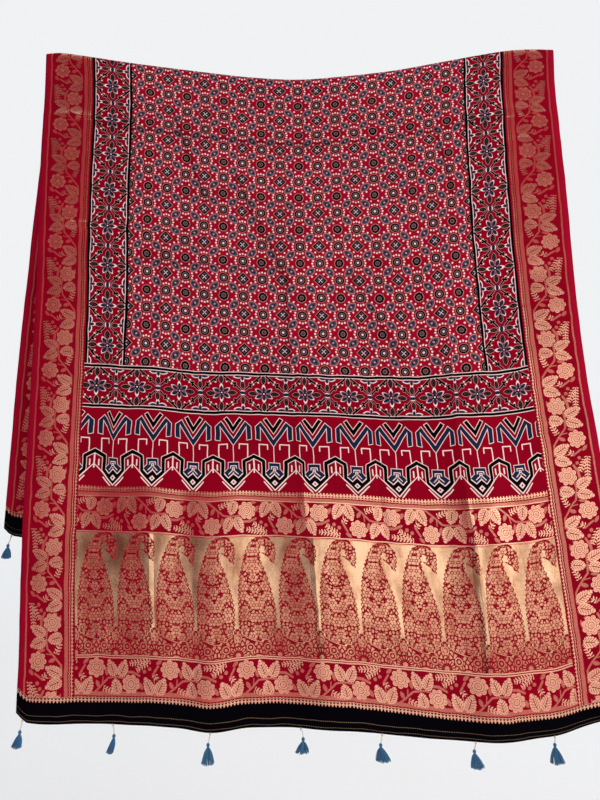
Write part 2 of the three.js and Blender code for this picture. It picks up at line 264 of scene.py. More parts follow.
def wrinkles(u, along):
    """Small uneven ripples of the silk, its pleats and its creases: how far across and how far out."""
    out = []
    for x, y in zip(u, along):
        ripple = noise.noise(Vector((x * 14, y * 2.4, 1.7)))
        crumple = noise.noise(Vector((x * 26 + y * 9, y * 30, 5.1)))
        slack = noise.noise(Vector((x * 5 - y * 3, y * 7 + x * 2, 9.3)))
        out.append(RIPPLE * ripple + CRUMPLE * crumple + SLACK * slack)
    out = np.array(out) * np.minimum(np.abs(along - FRONT_LENGTH) / RIPPLE_FADE, 1.0)
    across = 0.0 * out
    front = along < FRONT_LENGTH
    for pleat in PLEATS:
        reach = smooth(pleat.bottom, pleat.bottom + PLEAT_FOOT_FADE, along)
        reach = reach * (1 - smooth(pleat.top - PLEAT_TOP_FADE, pleat.top, along))
        beside = u - pleat.at - PLEAT_STRAY * np.sin(along * 9)
        out += front * pleat.rise * reach * ridge(beside, pleat.half)
        across -= front * pleat.pinch * reach * beside * np.exp(-((beside / PINCH_REACH) ** 2))
    for crease in SHARP_CREASES:
        reach = smooth(crease.left, crease.left + SHARP_FADE, u)
        reach = reach * (1 - smooth(crease.right - SHARP_FADE, crease.right, u))
        above = along - crease.at - SHARP_STRAY * np.sin(u * 11)
        out += front * crease.rise * reach * ridge(above, crease.half)
    return across, np.where(front, -out, out)


def hung_points(u, along):
    """Points of the cloth as it hangs, with its ripples, pleats and creases."""
    points = cloth_points(u, along)
    across, out = wrinkles(u, along)
    points[:, 0] += across
    points[:, 1] += out
    return points


cloth_mesh = bpy.data.meshes.new("cloth_silk")
shape = bmesh.new()
bmesh.ops.create_grid(shape, x_segments=len(columns) - 1, y_segments=len(rows) - 1, size=1.0)
texture_place = shape.loops.layers.uv.new("cloth")
flat_place = {}
for vert in shape.verts:
    column = round((vert.co.x + 1) / 2 * (len(columns) - 1))
    row = round((vert.co.y + 1) / 2 * (len(rows) - 1))
    flat_place[vert] = (columns[column], rows[row])
flat = np.array([flat_place[vert] for vert in shape.verts])
hung = hung_points(flat[:, 0], flat[:, 1])
for vert, point in zip(shape.verts, hung):
    vert.co = point
for face in shape.faces:
    middle_u = sum(flat_place[vert][0] for vert in face.verts) / 4
    middle_along = sum(flat_place[vert][1] for vert in face.verts) / 4
    face.material_index = zone_of(middle_u, middle_along)
    face.smooth = True
    for loop in face.loops:
        loop[texture_place].uv = flat_place[loop.vert]
shape.normal_update()
shape.to_mesh(cloth_mesh)
shape.free()
cloth = bpy.data.objects.new("cloth_silk", cloth_mesh)
bpy.context.collection.objects.link(cloth)


# How the materials are written: a Term stands for a number, vector or colour that a material works
# out at each point of a surface, so that a pattern reads as ordinary sums.
class Term:
    def __init__(self, socket):
        self.socket = socket

    def node(self, kind, *inputs, output=0, **settings):
        """Any shader node: its inputs in order, where None leaves one as it is."""
        tree = self.socket.id_data
        made = tree.nodes.new("ShaderNode" + kind)
        for name, setting in settings.items():
            setattr(made, name, setting)
        for port, given in zip(made.inputs, inputs):
            if isinstance(given, Term):
                tree.links.new(given.socket, port)
            elif given is not None:
                port.default_value = given
        return Term(made.outputs[output])

    def __add__(self, other):
        return self.node("Math", self, other, operation="ADD")

    def __radd__(self, other):
        return self.node("Math", other, self, operation="ADD")

    def __sub__(self, other):
        return self.node("Math", self, other, operation="SUBTRACT")

    def __rsub__(self, other):
        return self.node("Math", other, self, operation="SUBTRACT")

    def __mul__(self, other):
        return self.node("Math", self, other, operation="MULTIPLY")

    def __rmul__(self, other):
        return self.node("Math", other, self, operation="MULTIPLY")

    def __truediv__(self, other):
        return self.node("Math", self, other, operation="DIVIDE")

    def __rtruediv__(self, other):
        return self.node("Math", other, self, operation="DIVIDE")

    def __neg__(self):
        return self.node("Math", self, -1.0, operation="MULTIPLY")

    def __abs__(self):
        return self.node("Math", self, operation="ABSOLUTE")


def low(*terms):
    return reduce(lambda a, b: a.node("Math", a, b, operation="MINIMUM"), terms)


def high(*terms):
    return reduce(lambda a, b: a.node("Math", a, b, operation="MAXIMUM"), terms)


def inside(distance, edge=0.5):
    """1 where a distance is below zero and 0 where it is above, over a soft edge in millimetres."""
    return distance.node("Math", distance, -1.0 / edge, 0.5, operation="MULTIPLY_ADD", use_clamp=True)


def folded(value, period):
    """The distance from the nearest whole number of periods, so that a motif mirrors and repeats."""
    return value.node("Math", value, period / 2, operation="PINGPONG")


def wrapped(value, period):
    return value.node("Math", value, period / 2, -period / 2, operation="WRAP")


def plane(x, y):
    return x.node("CombineXYZ", x, y)


def parts(point):
    split = point.node("SeparateXYZ", point)
    return split, Term(split.socket.node.outputs[1])


def length_of(point):
    return point.node("VectorMath", point, operation="LENGTH", output=1)


def far_from(point, x, y):
    return point.node("VectorMath", point, (x, y, 0.0), operation="DISTANCE", output=1)


def nearest(point, *places):
    return low(*[far_from(point, x, y) for x, y in places])


def turned(point, x, y, degrees):
    """The point in a frame that sits at x, y with its first axis turned by an angle."""
    turn = (0.0, 0.0, math.radians(degrees))
    return point.node("Mapping", point, (x, y, 0.0), turn, vector_type="TEXTURE")


def mirrored(point):
    return point.node("VectorMath", point, operation="ABSOLUTE")


def bar(point, *places):
    """The distance from straight strokes that join some places in turn."""
    strokes = []
    for (x0, y0), (x1, y1) in zip(places, places[1:]):
        angle = math.degrees(math.atan2(y1 - y0, x1 - x0))
        local = mirrored(turned(point, (x0 + x1) / 2, (y0 + y1) / 2, angle))
        half = math.hypot(x1 - x0, y1 - y0) / 2
        past = local.node("VectorMath", local, (half, 0.0, 0.0), operation="SUBTRACT")
        strokes.append(length_of(past.node("VectorMath", past, (0.0, 0.0, 0.0), operation="MAXIMUM")))
    return low(*strokes)


def almond(local, half_length, half_width):
    """The distance from the edge of a pointed oval that lies along its frame's first axis."""
    radius = (half_length**2 + half_width**2) / (2 * half_width)
    return far_from(mirrored(local), 0.0, half_width - radius) - radius


def mixed(under, over, share):
    return share.node("Mix", share, None, None, None, None, None, under, over, output=2, data_type="RGBA")


def blended(share, low_value, high_value):
    return share * (high_value - low_value) + low_value


def dye(code):
    """A colour as the eye sees it, such as A80D2E, in the light's own scale."""
    levels = [int(code[i : i + 2], 16) / 255 for i in (0, 2, 4)]
    return tuple(v / 12.92 if v <= 0.04045 else ((v + 0.055) / 1.055) ** 2.4 for v in levels) + (1.0,)


def new_material(name, roughness):
    material = bpy.data.materials.new(name)
    material.use_nodes = True
    shader = material.node_tree.nodes["Principled BSDF"]
    shader.inputs["Roughness"].default_value = roughness
    return material, shader


def feed(term, shader, port):
    shader.id_data.links.new(term.socket, shader.inputs[port])


# The cloth's dyes and threads. Patterns are measured in millimetres of flat cloth: across from its
# middle, along from the front hem, hem from the hem of its own leg, side from the nearer selvedge.
RED = dye("9E0826")
DEEP_RED = dye("8E021C")
RESIST = dye("FAD6D2")
PINK_RESIST = dye("FFDCD4")
PALE = dye("C8948F")
BLACK = dye("070305")
INDIGO = dye("1C2440")
ROSE = dye("CC4A46")
GOLD = dye("ECC4A2")
GROUND_GOLD = dye("E6BE96")
BROWN_GOLD = dye("8A5A40")

Place = namedtuple("Place", "across along hem side grain")
Print = namedtuple("Print", "colour gold thread", defaults=(None, None))


def lattice_print(place):
    """The field: diamonds, ringed dots, lobed flowers and leaves on a lattice, with resist dots."""
    column, row, first_row = 80.3, 74.4, 685.0
    x = folded(place.across - column / 2, column)
    y = folded(place.along - first_row, row)
    point = plane(x, y)
    right, top = column / 2, row / 2

    diamond = x + y
    ring = nearest(point, (right, 0), (0, top))
    lobes = (right - 6.6, top - 1.2), (right - 1.2, top - 6.6), (right - 4.8, top - 4.8)
    flower = nearest(point, *lobes) - 2.7
    flower_middle = far_from(point, right, top)
    leaf_place = turned(point, right / 2, top / 2, -43)
    leaf = almond(leaf_place, 11.8, 6.7)
    leaf_middle = length_of(leaf_place)
    dots = []
    for ahead, aside in ((15.4, 0.0), (14.0, 5.6), (23.4, 8.0)):
        dots += [(right - ahead, aside), (right - aside, ahead), (aside, top - ahead), (ahead, top - aside)]
    dot = nearest(point, *dots)

    rims = inside(low((diamond - 14.1) * 0.707, ring - 10.2, flower - 0.8, flower_middle - 7.5, leaf - 0.8))
    black = inside(low((diamond - 13.0) * 0.707, ring - 9.6, flower, flower_middle - 6.9))
    indigo = inside(low(leaf + 0.3, ring - 4.6))
    grey = low((diamond - 8.2) * 0.707, abs(ring - 5.6) - 0.7, abs(flower_middle - 3.8) - 0.9)
    grey = inside(low(grey, abs(leaf + 2.2) - 0.4, flower_middle - 1.2), 0.8)
    petals = nearest(point, (4.4, 0), (0, 4.4)) - 2.4
    light = low(ring - 2.3, high(abs(x - y) - 0.7, diamond - 8.4))

    colour = mixed(RED, RESIST, inside(dot - 1.95))
    colour = mixed(colour, PALE, rims)
    colour = mixed(colour, BLACK, black)
    colour = mixed(colour, INDIGO, indigo)
    colour = mixed(colour, PALE, grey * 0.4)
    colour = mixed(colour, INDIGO, inside(petals))
    colour = mixed(colour, BLACK, inside(diamond - 2.8))
    colour = mixed(colour, PALE, inside(leaf_middle - 2.0, 0.8))
    colour = mixed(colour, RESIST, inside(light, 0.8))
    return Print(colour)


STAR_LINE = 38.5  # from the middle of a star strip to the black line along each side


def star_strip(along, middle, period, line_half):
    """A strip of six-petalled stars between round nodes, with twigs and buds, inside black lines."""
    half = period / 2
    t = folded(along, period)
    w = abs(middle)
    point = plane(t, w)

    centre = length_of(point)
    petal = low(almond(turned(point, 0, 11, 90), 7.6, 3.5), almond(turned(point, 9.8, 5.7, 30), 8.2, 3.7))
    core = low(almond(turned(point, 0, 8.6, 90), 5.4, 3.1), almond(turned(point, 9.0, 5.2, 30), 6.8, 3.5))
    leaf = low(almond(turned(point, 21, 0, 0), 9.0, 4.4), almond(turned(point, 0, 27, 90), 8.6, 4.3))
    node_place = turned(point, half, 0, 0)
    node = length_of(node_place.node("VectorMath", node_place, (0.45, 1.0, 1.0), operation="MULTIPLY"))
    node_leaf = almond(turned(point, half, 15.3, 90), 7.6, 4.0)
    blade = almond(turned(point, half - 9.6, 31.4, -6), 8.4, 3.2)
    blade_core = almond(turned(point, half - 9.0, 32.2, -6), 7.0, 2.3)
    bud = almond(turned(point, half, 26.5, 90), 7.4, 3.4)
    bud_core = almond(turned(point, half, 29.2, 90), 5.0, 2.9)
    knobs = nearest(point, (half - 16, 13.2), (11.5, 25.6), (half - 14, 19))
    twig = low(
        bar(point, (half - 5.5, 6.8), (half - 18.5, 19.4)) - 1.6, bar(point, (19.5, 22.8), (6, 33.8)) - 1.9,
        knobs - 2.3,
    )
    ticks = nearest(point, (22.6, 23.4), (20.6, 18.4), (10.8, 22.4)) - 1.7
    line = abs(w - STAR_LINE) - line_half

    white = inside(low(petal - 0.2, length_of(node_place) - 5.4, blade - 0.1, bud, ticks, line - 1.3))
    rims = inside(low(leaf - 0.5, node_leaf - 0.5, twig - 0.5, centre - 5.0))
    black = inside(low(leaf, node_leaf, twig, centre - 4.5, line))
    blue = inside(low(core, node - 3.2, blade_core, bud_core))
    veins = low(abs(leaf + 2.8) - 0.2, abs(node_leaf + 2.6) - 0.2)

    colour = mixed(DEEP_RED, RESIST, high(rims * 0.6, white))
    colour = mixed(colour, INDIGO, blue)
    colour = mixed(colour, BLACK, black)
    colour = mixed(colour, PALE, inside(veins) * 0.3)
    colour = mixed(colour, RESIST, inside(centre - 1.5))
    return Print(colour)


def side_stars_print(place):
    """The star strip up each side of the field."""
    middle = (abs(place.across) - (BAND + FIELD) * 500) * (STAR_LINE / 40.8)
    return star_strip(place.along - 677.2, middle, 81.2, 3.0)


def foot_stars_print(place):
    """The star strip across the foot of the field, which runs on under the side strips."""
    return star_strip(place.across, place.hem - 597.3, 84.2, 2.5)


def zigzag_print(place):
    """The zigzag band: blue peaks and chevrons over a stepped black zigzag, drawn with resist lines."""
    period, phase, start = 78.0, 10.0, 558.0
    x = folded(place.across - phase, period)
    y = start - place.hem
    point = plane(x, y)
    half = period / 2

    chevron = abs((x * 1.524 + y - 33.2) * 0.5486) - 3.2
    chevron = high(chevron, (x - (y - 33.4) * 1.524) * 0.5486 - 27)
    arm = abs((x * 1.483 + y - 57.9) * 0.559) - 3.5
    leg = high(abs(x - 30.4) - 4.1, y - 52 + (x - 30) * 0.25)
    peak = high(low(arm, leg), (17.6 - y + (x - 24.7) * 0.888) * 0.748, x - 34.5)
    roof = high(abs((y - 84 - (half - x) * 0.54) * 0.88) - 3.2, 18.2 - x)
    post = high(abs(x - 20.9) - 3.2, 93.5 - y, y - 119)
    steps = 126.4 - abs(x - 8.9) * 0.93
    foot = high((y + x * 1.04 - 145) * 0.693, (steps - y) * 0.73, x - 23.8)
    zigzag = low(roof, post, foot)
    lobes = (abs(x - 8.9) + abs(y - 115.5) - 8.8) * 0.707
    emblem = low(high(x - 10.2, abs(y - 102.2) - 5.6), lobes, high(x - 7, abs(y - 109.5) - 4.5))
    hook = bar(point, (28, 86), (28, 61), (12, 61), (12, 70))
    strokes = low(
        hook - 1.25, bar(point, (0, 66), (0, 95)) - 0.9, bar(point, (half, 88), (half, 114)) - 1.5,
        bar(point, (half - 8.2, 100), (half - 8.2, 110)) - 1.4, bar(point, (half, 107), (0, 146.6)) - 1.0,
        bar(point, (20.5, 132), (2.2, 151.5)) - 1.3,
    )
    square = abs(high(x, abs(y - 108.4)) - 1.9) - 0.8
    marks = low(
        square, bar(point, (2.5, 112), (8.6, 118)) - 0.8, bar(point, (0, 103), (5.6, 103), (5.6, 107)) - 0.8
    )
    stud = abs(x + abs(y - 133) - 3.9) * 0.707 - 1.2

    white = inside(low(peak - 1.1, chevron - 1.1, zigzag - 1.1, emblem - 1.1, strokes + 0.2))
    black = inside(low(chevron, zigzag))
    blue = inside(low(peak, emblem))
    light = inside(low(high(marks, emblem), stud))

    colour = mixed(DEEP_RED, PINK_RESIST, white)
    colour = mixed(colour, BLACK, black)
    colour = mixed(colour, INDIGO, blue)
    colour = mixed(colour, DEEP_RED, inside(x + abs(y - 133) - 2.6))
    colour = mixed(colour, RESIST, light)
    return Print(colour)


def leaf_weave(local, half_length, half_width):
    """A broad toothed leaf in gold thread, tip along its frame's first axis, with a red middle vein."""
    x, y = parts(local)
    y = abs(y)
    width = (x * (0.30 / half_length) + 1.02) / half_width
    out = length_of(plane(x / half_length, y * width))
    teeth = folded(x * 0.9 + y * 0.5, 3.4)
    pointed = almond(turned(local, -0.3 * half_length, 0.0, 0.0), 1.34 * half_length, 1.02 * half_width)
    edge = high((out - 1.0) * (half_width * 0.9), pointed) + teeth * 0.85 - 0.75
    vein = high(y - 0.6, abs(x + half_length * 0.15) - half_length * 0.6)
    ribs = high(folded(x - y * 0.8, 4.6) - 0.42, 1.2 - y, y - half_width * 0.75)
    return high(edge, 0.2 - low(vein, ribs))


def flower_weave(local, radius):
    """A scalloped flower in gold thread: two rows of petals round a ringed centre."""
    x, y = parts(local)
    angle = y.node("Math", y, x, operation="ARCTAN2") * 4.0
    scallop = abs(angle.node("Math", angle, operation="COSINE"))
    out = length_of(local)
    petal = scallop * 0.20 + 0.82
    edge = out - petal * radius
    gaps = high(scallop * (0.3 * radius) - 0.45, 0.55 * radius - out)
    rings = low(abs(out - petal * (0.62 * radius)) - 0.3, abs(out - 0.33 * radius) - 0.4)
    return high(edge, 0.2 - low(gaps, rings))


def fern_weave(local, reach):
    """A fern sprig along its frame's first axis: pairs of slim leaflets on a thin stem."""
    x, y = parts(local)
    y = abs(y)
    leaflet = almond(turned(plane(wrapped(x, 5.4), y), 0.4, 2.9, 58), 3.3, 1.15)
    return high(low(leaflet, y - 0.55), abs(x - reach / 2) - reach / 2)


def vine_weave(along, middle, period):
    """One repeat of the vine: its flowers, leaves and sprigs in gold, then its stems, buds and berries."""
    t = wrapped(along, period)
    rest_t = wrapped(along - 66, period)
    point, rest = plane(t, middle), plane(rest_t, middle)
    near, far = plane(abs(t), middle), plane(abs(rest_t), middle)

    pairs = low(
        leaf_weave(turned(near, 11.0, 15.5, -66), 15.2, 9.6),
        leaf_weave(turned(far, 10.6, -14, -68), 14.8, 9.2),
    )
    single = leaf_weave(turned(rest, -1.5, 17.0, -102), 13.4, 9.6)
    flowers = low(
        flower_weave(turned(point, 26.5, -13.5, 0), 16.0), flower_weave(turned(rest, 25.5, 12.5, 20), 16.0)
    )
    sprigs = low(
        fern_weave(turned(point, -8, -27, 172), 38), fern_weave(turned(point, -14, -22, 150), 22),
        fern_weave(turned(point, 40, 20, 20), 18), fern_weave(turned(point, 0, -3, 60), 9),
    )
    gold = low(pairs, single, flowers, sprigs)

    arch = bar(point, (2, 30), (20, 29), (34, 18), (48, 4), (66, 1.5))
    stems = low(
        arch - 1.6, bar(rest, (0, 1.5), (14, 3)) - 1.5,
        bar(rest, (17, -8), (30, -7)) - 2.3, bar(rest, (30, -7), (42, -1)) - 2.0,
        bar(point, (0, 2), (0, 28)) - 0.9, bar(point, (6, -18), (-3, -3)) - 1.8,
        bar(point, (38, 14), (39, 2)) - 0.9,
    )
    buds = low(
        almond(turned(point, 29, 13, 64), 7.0, 3.4), almond(turned(point, -26, 16, 60), 7.4, 3.6),
        almond(turned(point, 45, -7, 80), 7.2, 3.0), almond(turned(point, 8, -25, 140), 6.5, 3.2),
        almond(turned(point, -33, 27, 10), 8.0, 2.4),
    )
    berries = nearest(point, (-9, -13), (-18, -8), (-29, -9)) - 3.2
    return gold, low(stems, buds, berries)


def edging_weave(along, up, fine=1.0):
    """The edge of a woven band: a soft band, a fine chain and a row of drops that stand up from it."""
    column = folded(along, 6.1)
    drops = almond(plane(up - 8.6, column), 4.2 * fine, 1.8 * fine)
    drops = low(drops, high(abs(up - 8.4) - 0.7, column - 3.1))
    chain = abs(up - 3.4 - column * 0.45) - 0.5
    lines = low(abs(up + 4.8) - 0.4, abs(up - 0.2) - 0.35)
    return low(drops, chain), low(abs(up + 2.2) - 3.4, lines)


def woven(gold_edge, soft_edge, ground, place):
    """Gold thread on a red ground: bright along a motif's rims, and red mixed in where it is sparse."""
    gold = inside(gold_edge, 0.6)
    heart = inside(gold_edge + 1.3, 0.8)
    soft = inside(soft_edge, 0.7)
    specks = plane(place.across * 0.24, place.along * 0.24)
    specks = specks.node("TexNoise", specks, None, 1.0, 1.0)
    dense = 0.66 - heart * blended(low(place.grain, specks), 0.70, -0.15)
    colour = mixed(ground, ROSE, high(soft * 0.5, gold))
    share = high(gold * dense, soft * blended(place.grain, 0.0, 0.35))
    return Print(colour, share, GOLD)


def cross_vine_weave(place, middle, half_height, phase, edge_up, lines):
    gold, soft = vine_weave(place.across - phase, middle, 135.5)
    drops, band = edging_weave(place.across, edge_up)
    rims = low(*[abs(place.hem - line) - 0.9 for line in lines])
    inner = abs(middle) - half_height
    return woven(low(high(gold, inner), drops, rims), low(high(soft, inner), band), DEEP_RED, place)


def vine_upper_weave(place):
    """The upper vine: its leaves hang, under a band and a row of drops that stand up from it."""
    middle = place.hem - 359.0
    return cross_vine_weave(place, middle, 31.5, -79.0, place.hem - 396.5, (391.0, 326.5))


DROPS_FROM = 47.5  # above the hem: the lower vine's drops hang from here


def vine_lower_weave(place):
    """The lower vine: its leaves stand, over a band and drops that hang onto the black end."""
    middle = 78.5 - place.hem
    return cross_vine_weave(place, middle, 30.0, -28.0, DROPS_FROM - place.hem, (109.5, 113.0))


def paisleys_weave(place):
    """The paisley panel: tall hooked paisleys filled with a fine flower weave, on a gold ground."""
    period, phase, foot = 73.9, 35.4, 141.0
    x = wrapped(place.across - phase - 3.0, period) + 3.0
    y = place.hem - foot
    point = plane(x, y)
    tall = 184.0

    def profile(*points):
        curve = y.node("FloatCurve", None, y / tall)
        mapping = curve.socket.node.mapping
        mapping.curves[0].points[0].location = (0.0, points[0][1] / 80 + 0.5)
        mapping.curves[0].points[1].location = (1.0, points[-1][1] / 80 + 0.5)
        for height, value in points[1:-1]:
            mapping.curves[0].points.new(height / tall, value / 80 + 0.5)
        mapping.update()
        return (curve - 0.5) * 80.0

    left = profile((0, -34), (34, -34), (70, -32), (98, -29.2), (118, -26), (144, -19), (160, -13), (170, -8),
                   (177, -3), (181, 3), (184, 15))
    right = profile((0, 33), (42, 33), (70, 31), (98, 25), (124, 17), (144, 10), (160, 9), (184, 9))
    axis = abs(x - (left + right) * 0.5)
    sides = high(left - x, x - right)
    body = low(high(sides, 33.4 - y, y - 165), far_from(point, -0.5, 33.4) - 33.4)
    bow = far_from(plane(high(x, x * 0.0 + 15.0), y), 15.0, 159.5) - 24.3
    head = high(left - x, bow, 150 - y)
    opening = low(far_from(point, 15.2, 160.5) - 5.8, high(abs(x - 15.0) - 5.6, y - 160.5))
    beak = (x - 39.6) * 0.9756 - (y - 155) * 0.2195
    hook = high(-((x - 20.0) * 0.6955 + (y - 151) * 0.7186), beak, y - 154)
    lumps = folded(y + x * 0.4, 8.4) * 0.7 - 1.4
    paisley = low(body, high(head, -opening), hook) + lumps

    gap = folded(place.across - phase - period / 2, period)
    base = high(3.4 - paisley, y - 20)
    figure = low(paisley, base)

    spot = plane(axis, y)
    middle = spot.node("TexVoronoi", spot, None, 1 / 17.0, None, None, None, None, None, 0.65, output=2,
                       voronoi_dimensions="2D")
    cell = spot.node("VectorMath", spot, middle, operation="SUBTRACT")
    bloom_x, bloom_y = parts(cell)
    turn = bloom_y.node("Math", bloom_y, bloom_x, operation="ARCTAN2") * 3.0
    scallop = abs(turn.node("Math", turn, operation="COSINE"))
    out = length_of(cell)
    rim = scallop * 2.2 + 6.0
    bloom = high(out - rim, 0.3 - low(high(scallop * 4.5 - 0.8, 3.0 - out), abs(out - 2.4) - 0.4))
    leaves = plane(axis, y * 0.7)
    leaflet = leaves.node("TexVoronoi", leaves, None, 0.17, feature="DISTANCE_TO_EDGE",
                          voronoi_dimensions="2D")
    leaflets = high((0.20 - leaflet) * 6.0, 1.6 - (out - rim))
    fan_place = plane(gap, y + 24)
    fan_x, fan_y = parts(fan_place)
    fan_out = length_of(fan_place)
    finger = folded(fan_x.node("Math", fan_x, fan_y, operation="ARCTAN2"), 0.36) * fan_out - 0.9
    fan = high(fan_out - 14, 0.2 - low(finger, abs(fan_out - 8) - 0.8))
    scroll_out = far_from(plane(gap, y), 21.5, -12)
    scroll = low(abs(scroll_out - 6.0) - 1.0, scroll_out - 2.4)
    crest_out = far_from(plane(gap, y), 0, 5.0)
    crest = high(crest_out - 7.0, 0.8 - abs(crest_out - 4.0))
    foot_leaves = high((0.17 - leaflet) * 6.0, 15.2 - fan_out, 8.0 - scroll_out)
    plinth = low(fan, fan_out - 4.2, scroll, crest, foot_leaves)
    low_part = inside(base)
    light = inside(low(bloom, leaflets), 0.6) * (1.0 - low_part) + inside(plinth, 0.6) * low_part * 0.85
    filled = inside(figure)
    outline = inside(abs(figure) - 0.8)

    clouds = plane(place.across * 0.03, place.hem * 0.012)
    tarnish = clouds.node("TexNoise", clouds, None, 1.0, 4.0, 0.65)
    tarnish = tarnish.node("MapRange", tarnish, 0.42, 0.68, 0.0, 1.0)
    thread = mixed(GROUND_GOLD, BROWN_GOLD, tarnish * 0.7 + place.grain * 0.3)
    soft_line = inside(low(place.hem - 115.0, 323.0 - place.hem))
    silk = mixed(ROSE, DEEP_RED, high(filled * (1.0 - light), outline))
    gold = (1.0 - filled) * (0.95 - soft_line * 0.45) + filled * light * blended(place.grain, 0.40, 0.85)
    return Print(silk, gold * (1.0 - outline), thread)


def side_weave(place):
    """The side border: plain edge, gold stripe, a vine along the length, then a soft band with drops."""
    middle = place.side - 50.5
    inner = abs(middle) - 33.0
    gold, soft = vine_weave(place.along - 75.0, middle, 129.5)
    drops, band = edging_weave(place.along, place.side - 90.5, 0.62)
    stripe = abs(place.side - 13.5) - 1.6
    ground = mixed(DEEP_RED, RED, inside(place.side - 11.0))
    return woven(low(high(gold, inner), drops), low(high(soft, inner), band, stripe), ground, place)


def black_end_dye(place):
    """The black end: dyed cloth with the vine's last drops and two faint dashed woven lines near the hem."""
    drops = edging_weave(place.across, DROPS_FROM - place.hem)[0]
    drops = inside(high(drops, 33.0 - place.hem), 0.6)
    lines = low(abs(place.hem - 4.5), abs(place.hem - 13.5)) - 0.5
    dash = place.across.node("Math", folded(place.across, 4.0) - 0.9, 0.0, operation="GREATER_THAN")
    faint = inside(lines) * (dash * 0.16 + 0.05)
    colour = mixed(dye("050307"), dye("5A4030"), faint)
    return Print(mixed(colour, ROSE, drops), high(faint, drops * 0.6), GOLD)


# Fine lines where the silk has been folded small and pressed: both ends of each, and how deep it is. Along
# each, painted shade darkens the colour, and a bump raises the crease.
CREASE_SHADE_LINES = {
    "field": (
        ((-272, 1201), (-198, 1006), 0.7), ((-135, 1064), (-29, 835), 0.7), ((-29, 835), (-31, 674), 0.8),
        ((297, 1155), (328, 995), 0.7), ((105, 846), (196, 674), 0.6), ((-350, 858), (-20, 858), 0.5),
        ((-350, 1006), (340, 1006), 0.3), ((-440, 1152), (60, 1146), 0.8), ((60, 1146), (440, 1156), 0.6),
        ((-292, 880), (-300, 655), 0.45), ((14, 1255), (10, 1090), 0.35),
    ),
    "side_stars": (((-440, 1152), (440, 1152), 0.8),),
    "paisleys": (
        ((-305, 150), (-305, 325), 0.6), ((-2, 100), (-2, 330), 0.8), ((287, 30), (289, 420), 0.8),
    ),
}


def worn_through(done, grain):
    """The reverse of the silk: where there is no gold thread the print comes through paler, and the gold
    shows as short clipped floats.
    """
    colour = mixed(done.colour, dye("98283A"), blended(grain, 0.1, 0.4))
    if done.gold is None:
        return Print(colour)
    floats = grain.node("MapRange", grain, 0.52, 0.62, 0.0, 1.0)
    return Print(done.colour, done.gold * blended(floats, 0.45, 1.0), dye("EED4B4"))


MM = 1000.0  # in a metre
STRAY = 0.004  # how far a print or a weave wanders from its true place
GOLD_COVER = 0.9  # the share of silk that the gold thread can hide


def cloth_material(zone, pattern, reverse=False):
    """A zone of the silk: its pattern, the uneven dye, painted shade along its crease lines, the weave and
    the gold thread's shine.
    """
    material, shader = new_material(("reverse_" if reverse else "silk_") + zone, 0.65)
    start = Term(shader.inputs["Base Color"])
    uv = start.node("UVMap", uv_map="cloth")
    wander = uv.node("TexNoise", uv, None, 28.0, 1.0, output=1)
    stray = wander.node("VectorMath", wander, (0.5, 0.5, 0.5), operation="SUBTRACT")
    strayed = uv.node("VectorMath", stray, (STRAY, STRAY, 0.0), uv, operation="MULTIPLY_ADD")
    u, v = parts(strayed)
    across = u * MM
    along = v * MM
    back = along.node("Math", along, BACK_START * MM, operation="GREATER_THAN")
    hem = along + back * (CLOTH_LENGTH * MM - along - along)
    side = EDGE * MM - abs(across)
    threads = plane(across * 0.035, along * 0.9)
    grain = threads.node("TexNoise", threads, None, 1.0, 2.0)
    place = Place(across, along, hem, side, grain)
    done = pattern(place)
    if reverse:
        done = worn_through(done, grain)

    patches = uv.node("TexNoise", uv, None, 9.0, 3.0)
    shade = blended(patches, 0.78, 1.16) * blended(grain, 0.90, 1.10)
    warp = across.node("Math", across * 7.0, operation="SINE")
    weft = along.node("Math", along * 7.0, operation="SINE")
    relief = warp * weft * 0.03 + grain * 0.06
    if done.gold is not None:
        relief = relief + done.gold * 0.12
    dents = uv.node("TexNoise", uv, None, 38.0, 2.0)
    relief = relief + dents * 0.9
    if zone == "paisleys":
        relief = relief + uv.node("TexNoise", uv, None, 17.0, 1.0) * 6.0
    spot = plane(across, along)
    for one_end, other_end, depth in () if reverse else CREASE_SHADE_LINES.get(zone, ()):
        # painted shade: the colour is darkened along each crease line, beside a real bump
        crease_shade = inside(bar(spot, one_end, other_end) - 4.0, 9.0) * depth
        shade = shade * (1.0 - crease_shade * 0.6)
        relief = relief + crease_shade * 7.0
    colour = done.colour.node("Mix", 1.0, None, None, None, None, None, done.colour, shade, output=2,
                              data_type="RGBA", blend_type="MULTIPLY")
    feed(colour, shader, "Base Color")
    shader.inputs["Specular IOR Level"].default_value = 0.01

    normal = relief.node("Bump", 0.5, 0.001, None, relief)
    feed(normal, shader, "Normal")
    if done.gold is None:
        return material

    nodes, links = material.node_tree.nodes, material.node_tree.links
    thread = nodes.new("ShaderNodeBsdfPrincipled")
    thread.inputs["Metallic"].default_value = 1.0
    thread.inputs["Roughness"].default_value = 0.26
    if isinstance(done.thread, Term):
        feed(done.thread, thread, "Base Color")
    else:
        thread.inputs["Base Color"].default_value = done.thread
    feed(normal, thread, "Normal")
    joined = nodes.new("ShaderNodeMixShader")
    feed(done.gold * GOLD_COVER, joined, 0)
    links.new(shader.outputs[0], joined.inputs[1])
    links.new(thread.outputs[0], joined.inputs[2])
    links.new(joined.outputs[0], nodes["Material Output"].inputs["Surface"])
    return material


